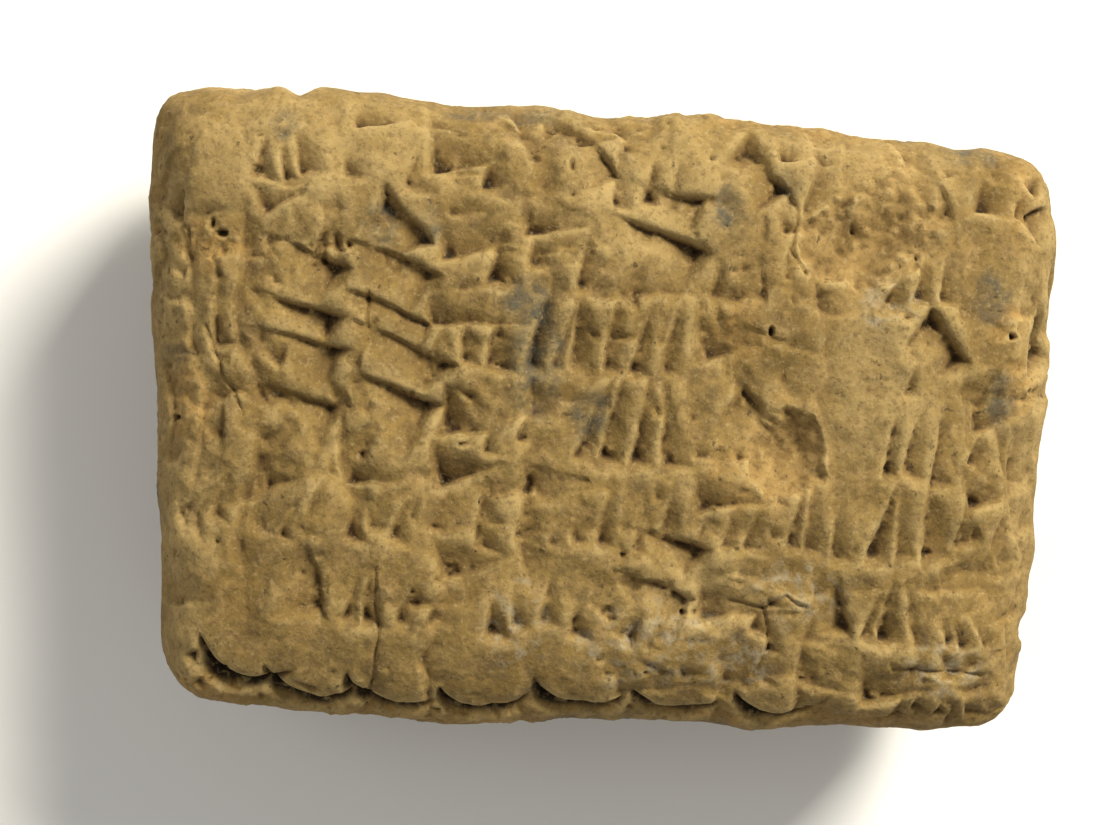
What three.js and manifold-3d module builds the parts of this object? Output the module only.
// Clay cuneiform tablet, lying on its reverse with the written face up.
// Millimetres. +X runs to the right of the written face, +Y to its far edge and +Z up.
// One lump of clay, so one solid: a rounded slab, flat where it rests, into which wedges were pressed.
// The wedges stand in rows, as writing does, but they spell nothing.
import * as THREE from "three";
import { mergeVertices } from "three/addons/utils/BufferGeometryUtils.js";
import Module from "manifold-3d";

// Overall size of the slab before the stylus touched it
const WIDTH = 45;
const HEIGHT = 32.9;
const FRONT_RISE = 6.4; // from the girth, where the slab is widest, up to the written face
const BACK_DROP = 8.6; // from the girth down to the reverse
const REST_TRIM = 0.45; // worn off the lowest part of the reverse, which makes the flat it lies on

// The outline is a crooked four-sided figure. Its corners are shares of WIDTH and HEIGHT.
const FAR_LEFT = [-0.497, 0.5];
const FAR_RIGHT = [0.503, 0.398];
const NEAR_RIGHT = [0.466, -0.503];
const NEAR_LEFT = [-0.492, -0.447];
const LEFT_BOW = 0.4; // how far the middle of each side swells past a straight line
const RIGHT_BOW = 0.5;
const FAR_BOW = 0.2;
const NEAR_BOW = 0.15;

// Exponents of the rounding: 2 is a circle, and a higher number is squarer
const OUTLINE_SQUARENESS = 17;
const FRONT_SQUARENESS = 4.4;
const BACK_SQUARENESS = 2.8;

// Mesh divisions of the slab, and how strongly they crowd towards its edges
const ACROSS = 24;
const ALONG = 18;
const THROUGH = 8;
const CROWDING = 1.45;

// Swells of the written face: place as shares of the half size, radius and height in mm
const SWELLS = [
  { place: [0.72, 0.42], radius: 3.4, height: 0.5 },
  { place: [0.53, 0.05], radius: 4.2, height: 0.35 },
  { place: [0.36, 0.4], radius: 3.0, height: 0.4 },
  { place: [-0.8, 0.75], radius: 3.6, height: 0.3 },
  { place: [-0.1, 0.45], radius: 3.2, height: 0.3 },
];

// What broke out of the written face: place as shares of the half size, radius and depth in mm
const HOLLOWS = [
  { place: [0.52, 0.62], radius: 2.4, depth: 1.1 },
  { place: [0.62, 0.74], radius: 2.6, depth: 0.6 },
  { place: [0.39, -0.05], radius: 2.1, depth: 0.9 },
];

// Swells and notches of the rim: place as shares of the half size, radius and outward push in mm
const RIM_MARKS = [
  { place: [-0.56, 1], radius: 2.6, push: 0.35 },
  { place: [-0.68, 1], radius: 0.6, push: -0.45 },
  { place: [0.2, 1], radius: 2.0, push: 0.2 },
  { place: [0.79, 1], radius: 1.0, push: -0.35 },
  { place: [1, -0.63], radius: 0.7, push: -0.4 },
  { place: [-0.37, -1], radius: 4.0, push: 0.4 },
  { place: [0.37, -1], radius: 1.5, push: 0.25 },
];

// The stylus: length, width and depth of a full wedge, and how far its corner leans to one side
const WEDGE_LENGTH = 4.6;
const WEDGE_WIDTH = 2.9;
const WEDGE_DEPTH = 1.05;
const CORNER_SETBACK = 0.16; // the deepest point, as a share of the length from the head
const CLEAR_ABOVE = 1.6; // how far the cutter reaches above the clay

// The round end of the stylus, pressed at a slant in a row along the near edge
const CRESCENTS = 7;
const CRESCENT_PITCH = 4.0; // from the first to the second
const CRESCENT_WIDENING = 0.14; // how fast the pitch grows towards the right
const CRESCENT_RADIUS = 2.6;
const CRESCENT_DEPTH = 1.35; // at the bottom of its arc, on the side towards the near edge
const CRESCENT_START = 3.2; // from the left edge to the first crescent
const CRESCENT_BAND = 0.85; // from the near edge to the bottoms of the arcs
const CRESCENT_CLIMB = 1.1; // how much farther in the first one is
const CRESCENT_SETTLING = 2; // how fast the next ones come down to the band
const CRESCENT_TURN = -18; // in degrees, which lifts the left arm of each arc
const CRESCENT_LEAN = 24; // how far the stylus leans back, in degrees
const CRESCENT_STEEP = 2.6; // slope of the wall inside the arc
const CRESCENT_GENTLE = 1.8; // slope of the wall outside it
const CRESCENT_EYE = 0.1; // the least hole in the middle of its cutter, as a share of the radius
const CRESCENT_SIDES = 24;
const CRESCENT_SPREAD = 0.2; // the unevenness of the hand: place and radius

// Each motif is a group of wedges in one cell. A wedge has its place in the cell, as shares of the
// cell, its turn in degrees, its length, width and depth as shares of a full wedge, and its lean.
const ACROSS_ROW = 0;
const UP_ROW = 90;
const SLANTED = 146;
const RISING = 52;
const STEEP_NEAR = -0.75; // lean of a stroke across the row: its steep wall is on the near side
const STEEP_LEFT = 0.75; // lean of an upright stroke: its steep wall is on the left
const STEEP_RIGHT = -0.75;
const wedge = (x, y, turn, length, width, depth, lean) => ({ x, y, turn, length, width, depth, lean });
const MOTIFS = {
  r: [
    wedge(-0.45, 0.1, ACROSS_ROW - 6, 0.95, 1.05, 0.9, STEEP_NEAR),
    wedge(0.3, -0.42, UP_ROW, 0.6, 0.6, 0.6, STEEP_LEFT),
  ],
  l: [
    wedge(-0.48, 0.3, ACROSS_ROW, 1.0, 0.75, 0.8, STEEP_NEAR),
    ...[-0.3, -0.02, 0.26].map((x) => wedge(x, -0.45, UP_ROW, 0.6, 0.48, 0.5, STEEP_LEFT)),
  ],
  c: [
    wedge(0.52, 0.3, SLANTED, 1.05, 1.15, 1.0, -0.68),
    wedge(0.5, -0.24, SLANTED, 1.1, 1.15, 1.0, -0.68),
    wedge(-0.36, -0.5, RISING, 0.6, 0.7, 0.6, -0.6),
  ],
  f: [-0.3, 0.0, 0.32].map((x, i) => wedge(x, -0.5, UP_ROW - 6 + 7 * i, 1.0, 0.6, 0.75, STEEP_LEFT)),
  b: [
    wedge(-0.45, 0.36, ACROSS_ROW, 0.9, 0.85, 0.8, STEEP_NEAR),
    wedge(0.34, -0.5, UP_ROW, 0.95, 0.7, 0.8, STEEP_LEFT),
    wedge(-0.3, -0.35, UP_ROW, 0.5, 0.5, 0.5, STEEP_LEFT),
  ],
  t: [-0.34, -0.06, 0.24].map((x) => wedge(x, -0.45, UP_ROW, 0.75, 0.48, 0.55, STEEP_LEFT)),
  k: [
    wedge(-0.2, 0.3, RISING - 80, 0.8, 1.3, 0.9, 0.5),
    wedge(0.35, -0.3, SLANTED - 30, 0.8, 0.95, 0.8, -0.7),
  ],
  s: [wedge(0.05, -0.48, UP_ROW, 1.1, 0.9, 0.7, STEEP_RIGHT)],
  ".": [],
};

// The written face, cell by cell, from the far edge to the near edge
const FACE_SCORE = [
  ".fbrkfk.sr",
  "rbkrbcs.fs",
  "bcclftr.kc",
  "sccrbfk.fb",
  "tllbltltfb",
  ".stbtcrsft",
  "........rb",
];
const BACK_SCORE = ["k....", "l....", "f....", "b....", "k...."];
const LEFT_SCORE = ["rckkrtb"];
const RIGHT_SCORE = ["k.rbrtk"];
const FAR_SCORE = ["s..k...rb"];
const NEAR_SCORE = ["..s.k..s."];
const BACK_STRENGTH = 0.6; // wedges of the reverse, against those of the face
const EDGE_STRENGTH = 0.62;
const FACE_BORDER = 0.5; // left bare between a score and the edges of its side
const BACK_BORDER = 2.6;
const EDGE_BORDER = 2.5;
const EDGE_BAND = 0.3; // half the height of an edge's written band, as a share of the rise and the drop
const PLACE_SPREAD = 0.07; // the unevenness of the hand: place, turn, size and depth
const TURN_SPREAD = 9;
const SIZE_SPREAD = 0.12;
const DEPTH_SPREAD = 0.15;

// Numbers of the hand's draws: how many each wedge has, where each side's count starts, and the crescents'
const DRAWS = 7;
const FIRST_WEDGE = { face: 0, back: 1000, left: 2000, right: 3000, far: 4000, near: 5000 };
const CRESCENT_DRAWS = { across: 7100, upward: 7200, radius: 7300 };
const SCATTER = { step: 12.9898, start: 78.233, stretch: 43758.5453 };

const TOUCH_STEP = 0.01; // how far apart two directions are, to tell how the surface slopes
const WELD = 1e-4; // points closer than this are one point

// Repeats with the same numbers every time: a share from 0 to 1 for each whole number
function share(index) {
  const x = Math.abs(Math.sin(index * SCATTER.step + SCATTER.start) * SCATTER.stretch);
  return x - Math.floor(x);
}

// A value of the hand: somewhere from -spread to spread
const hand = (index, spread) => (2 * share(index) - 1) * spread;

// Rounds a direction (u, v, w) onto the unit slab, whose half size is 1 each way
function rounded(u, v, w) {
  const square = w > 0 ? FRONT_SQUARENESS : BACK_SQUARENESS;
  const power = OUTLINE_SQUARENESS;
  const flat = (Math.abs(u) ** power + Math.abs(v) ** power) ** (1 / power);
  const reach = (flat ** square + Math.abs(w) ** square) ** (1 / square);
  return [u / reach, v / reach, w / reach];
}

// The crooked outline: corners blended, and each side bowed
function planOf(u, v) {
  const corners = [
    [FAR_LEFT, (1 - u) * (1 + v)],
    [FAR_RIGHT, (1 + u) * (1 + v)],
    [NEAR_RIGHT, (1 + u) * (1 - v)],
    [NEAR_LEFT, (1 - u) * (1 - v)],
  ];
  const x = corners.reduce((sum, [corner, weight]) => sum + (corner[0] * weight) / 4, 0) * WIDTH;
  const y = corners.reduce((sum, [corner, weight]) => sum + (corner[1] * weight) / 4, 0) * HEIGHT;
  const sideways = (u > 0 ? RIGHT_BOW : LEFT_BOW) * u * Math.abs(u) * (1 - v * v);
  const lengthways = (v > 0 ? FAR_BOW : NEAR_BOW) * v * Math.abs(v) * (1 - u * u);
  return [x + sideways, y + lengthways];
}

// Moves a plan point out or in where a swell or a notch of the rim is near
function marked([x, y]) {
  let [outX, outY] = [0, 0];
  for (const { place, radius, push } of RIM_MARKS) {
    const [px, py] = planOf(...place);
    const near = push * Math.exp(-((x - px) ** 2 + (y - py) ** 2) / radius ** 2);
    if (Math.abs(place[1]) === 1) outY += place[1] * near;
    else outX += place[0] * near;
  }
  return [x + outX, y + outY];
}

// The slab's surface point in a direction when it was written on: the face swelled, the rest flattened
function surface(u, v, w) {
  const [ru, rv, rw] = rounded(u, v, w);
  const [x, y] = marked(planOf(ru, rv));
  if (rw <= 0) return new THREE.Vector3(x, y, Math.max(rw * BACK_DROP, REST_TRIM - BACK_DROP));
  let z = rw * FRONT_RISE;
  for (const { place, radius, height } of SWELLS) {
    const [sx, sy] = planOf(...place);
    z += rw * height * Math.exp(-((x - sx) ** 2 + (y - sy) ** 2) / radius ** 2);
  }
  return new THREE.Vector3(x, y, z);
}

// The same point after the breaks, which took the written surface with them
function brokenSurface(u, v, w) {
  const point = surface(u, v, w);
  if (w <= 0) return point;
  for (const { place, radius, depth } of HOLLOWS) {
    const [hx, hy] = planOf(...place);
    point.z -= depth * Math.exp(-((point.x - hx) ** 2 + (point.y - hy) ** 2) / radius ** 2);
  }
  return point;
}

// A lattice place from -1 to 1, moved towards the nearer end, so that the rounded edges get more points
const crowded = (place) => Math.sign(place) * (1 - (1 - Math.abs(place)) ** CROWDING);

// Adds one side of the slab's lattice: a grid of points, each a direction, in two triangles per cell
function addSide(points, columns, rows, directionOf) {
  for (let i = 0; i < columns; i++) {
    for (let j = 0; j < rows; j++) {
      const [a, b, c, d] = [[i, j], [i + 1, j], [i + 1, j + 1], [i, j + 1]].map(([p, q]) =>
        brokenSurface(...directionOf(crowded((2 * p) / columns - 1), crowded((2 * q) / rows - 1))),
      );
      points.push(a, b, c, a, c, d);
    }
  }
}

// The bare slab: the six sides of a cube's lattice, rounded and joined where they meet
function slabGeometry() {
  const points = [];
  addSide(points, ACROSS, ALONG, (u, v) => [u, v, 1]);
  addSide(points, ACROSS, ALONG, (u, v) => [u, -v, -1]);
  addSide(points, ALONG, THROUGH, (v, w) => [1, v, w]);
  addSide(points, ALONG, THROUGH, (v, w) => [-1, -v, w]);
  addSide(points, ACROSS, THROUGH, (u, w) => [-u, 1, w]);
  addSide(points, ACROSS, THROUGH, (u, w) => [u, -1, w]);
  return new THREE.BufferGeometry().setFromPoints(points);
}

// Where the stylus touches: a point of the slab, its outward normal and the two ways along the surface
function touch(direction, alongU, alongV) {
  const at = (way, sign) => surface(...direction.map((d, i) => d + sign * TOUCH_STEP * way[i]));
  const first = at(alongU, 1).sub(at(alongU, -1)).normalize();
  const second = at(alongV, 1).sub(at(alongV, -1));
  const normal = first.clone().cross(second).normalize();
  return { point: surface(...direction), normal, first, second: normal.clone().cross(first) };
}

// One wedge: a three-sided cutter with its point down, flared so that it also clears the clay above
function wedgeGeometry({ point, normal, first, second }, { turn, length, width, depth, lean }) {
  const angle = THREE.MathUtils.degToRad(turn);
  const along = first.clone().multiplyScalar(Math.cos(angle)).addScaledVector(second, Math.sin(angle));
  const across = normal.clone().cross(along);
  const spot = (a, b, c) =>
    point.clone().addScaledVector(along, a).addScaledVector(across, b).addScaledVector(normal, c);
  const tip = spot(CORNER_SETBACK * length, (lean * width) / 2, -depth);
  const flare = (depth + CLEAR_ABOVE) / depth;
  const [head, tail, foot] = [[0, width / 2], [length, 0], [0, -width / 2]].map(([a, b]) =>
    tip.clone().lerp(spot(a, b, 0), flare),
  );
  return new THREE.BufferGeometry().setFromPoints([
    ...[head, foot, tail],
    ...[foot, head, tip],
    ...[tail, foot, tip],
    ...[head, tail, tip],
  ]);
}

// One crescent: a ring with a point below, leaned back so that only its near side goes into the clay
function crescentGeometry({ point, normal, first, second }, radius) {
  const top = CRESCENT_DEPTH + CLEAR_ABOVE;
  const inner = Math.max(radius - top / CRESCENT_STEEP, radius * CRESCENT_EYE);
  const outer = radius + top / CRESCENT_GENTLE;
  const corners = [[radius, 0], [outer, top], [inner, top], [radius, 0]];
  const profile = corners.map(([r, z]) => new THREE.Vector2(r, z));
  const ring = new THREE.LatheGeometry(profile, CRESCENT_SIDES);
  ring.deleteAttribute("normal");
  ring.deleteAttribute("uv");
  ring.rotateX(Math.PI / 2);
  ring.translate(0, radius, 0);
  ring.rotateX(THREE.MathUtils.degToRad(CRESCENT_LEAN));
  ring.translate(0, 0, -CRESCENT_DEPTH);
  ring.rotateZ(THREE.MathUtils.degToRad(CRESCENT_TURN));
  const place = new THREE.Matrix4().makeBasis(first, second, normal).setPosition(point);
  return ring.applyMatrix4(place);
}

// Presses a score of motifs, spread evenly over one side, and returns the cutters
function pressed(score, strength, firstWedge, extent, directionOf, alongU, alongV) {
  const cutters = [];
  let index = firstWedge;
  score.forEach((line, row) => {
    [...line].forEach((motif, column) => {
      for (const stroke of MOTIFS[motif]) {
        index += 1;
        const draw = index * DRAWS;
        const x = column + 0.5 + stroke.x + hand(draw, PLACE_SPREAD);
        const y = score.length - row - 0.5 + stroke.y + hand(draw + 1, PLACE_SPREAD);
        const u = extent[0] * ((2 * x) / line.length - 1);
        const v = extent[1] * ((2 * y) / score.length - 1);
        const size = strength * (1 + hand(draw + 2, SIZE_SPREAD));
        const cut = {
          turn: stroke.turn + hand(draw + 3, TURN_SPREAD),
          length: WEDGE_LENGTH * stroke.length * size,
          width: WEDGE_WIDTH * stroke.width * size,
          depth: WEDGE_DEPTH * stroke.depth * size * (1 + hand(draw + 4, DEPTH_SPREAD)),
          lean: stroke.lean,
        };
        cutters.push(wedgeGeometry(touch(directionOf(u, v), alongU, alongV), cut));
      }
    });
  });
  return cutters;
}

// A direction of the written face or the reverse at shares (u, v) of its half size
function faceDirection(u, v, up) {
  const square = up > 0 ? FRONT_SQUARENESS : BACK_SQUARENESS;
  const flat = Math.max(Math.abs(u), Math.abs(v));
  return [u, v, up * (1 - flat ** square) ** (1 / square)];
}

// The share of a side's half size that a score reaches, when a border is left bare
const reached = (border, size) => 1 - (2 * border) / size;

// Every wedge of the tablet, side by side of the slab
function allWedges() {
  const [right, far, up] = [[1, 0, 0], [0, 1, 0], [0, 0, 1]];
  const [left, near] = [[-1, 0, 0], [0, -1, 0]];
  const face = [reached(FACE_BORDER, WIDTH), reached(FACE_BORDER, HEIGHT)];
  const back = [reached(BACK_BORDER, WIDTH), reached(BACK_BORDER, HEIGHT)];
  const side = [reached(EDGE_BORDER, HEIGHT), EDGE_BAND];
  const end = [reached(EDGE_BORDER, WIDTH), EDGE_BAND];
  const first = FIRST_WEDGE;
  return [
    ...pressed(FACE_SCORE, 1, first.face, face, (u, v) => faceDirection(u, v, 1), right, far),
    ...pressed(BACK_SCORE, BACK_STRENGTH, first.back, back, (u, v) => faceDirection(-u, v, -1), left, far),
    ...pressed(LEFT_SCORE, EDGE_STRENGTH, first.left, side, (s, w) => [-1, -s, w], near, up),
    ...pressed(RIGHT_SCORE, EDGE_STRENGTH, first.right, side, (s, w) => [1, s, w], far, up),
    ...pressed(FAR_SCORE, EDGE_STRENGTH, first.far, end, (s, w) => [-s, 1, w], left, up),
    ...pressed(NEAR_SCORE, EDGE_STRENGTH, first.near, end, (s, w) => [s, -1, w], right, up),
  ];
}

// The row of crescents, each a little out of line
function allCrescents() {
  const strayed = (draws, i) => hand(draws + i, CRESCENT_SPREAD);
  return Array.from({ length: CRESCENTS }, (_, i) => {
    const inRow = CRESCENT_START + CRESCENT_PITCH * i + CRESCENT_WIDENING * i * (i - 1);
    const climb = CRESCENT_CLIMB * Math.exp(-CRESCENT_SETTLING * i);
    const x = inRow + strayed(CRESCENT_DRAWS.across, i);
    const y = CRESCENT_BAND + climb + strayed(CRESCENT_DRAWS.upward, i);
    const way = faceDirection((2 * x) / WIDTH - 1, (2 * y) / HEIGHT - 1, 1);
    const radius = CRESCENT_RADIUS + strayed(CRESCENT_DRAWS.radius, i);
    return crescentGeometry(touch(way, [1, 0, 0], [0, 1, 0]), radius);
  });
}

const wasm = await Module();
wasm.setup();

// A closed triangle mesh as a solid that can be cut
function solidOf(geometry) {
  const merged = mergeVertices(geometry, WELD);
  return new wasm.Manifold(
    new wasm.Mesh({
      numProp: 3,
      vertProperties: merged.attributes.position.array,
      triVerts: new Uint32Array(merged.index.array),
    }),
  );
}

// Turns a solid back into geometry, centred over its own foot: the origin is the middle of the underside
function geometryOf(solid) {
  const mesh = solid.getMesh();
  const geometry = new THREE.BufferGeometry();
  geometry.setAttribute("position", new THREE.BufferAttribute(new Float32Array(mesh.vertProperties), 3));
  geometry.setIndex(new THREE.BufferAttribute(new Uint32Array(mesh.triVerts), 1));
  geometry.computeBoundingBox();
  const { min, max } = geometry.boundingBox;
  geometry.translate(-(min.x + max.x) / 2, -(min.y + max.y) / 2, -min.z);
  geometry.computeVertexNormals();
  return geometry;
}

// The tablet: the slab with every wedge and crescent cut out of it, in matt dried clay
function tabletMesh() {
  let clay = solidOf(slabGeometry());
  for (const cutter of [...allWedges(), ...allCrescents()]) clay = clay.subtract(solidOf(cutter));
  const look = { color: 0xb08d59, roughness: 0.9, metalness: 0, flatShading: true };
  const mesh = new THREE.Mesh(geometryOf(clay), new THREE.MeshStandardMaterial(look));
  mesh.name = "tablet";
  return mesh;
}

const tablet = new THREE.Group();
tablet.add(tabletMesh());

export default tablet;
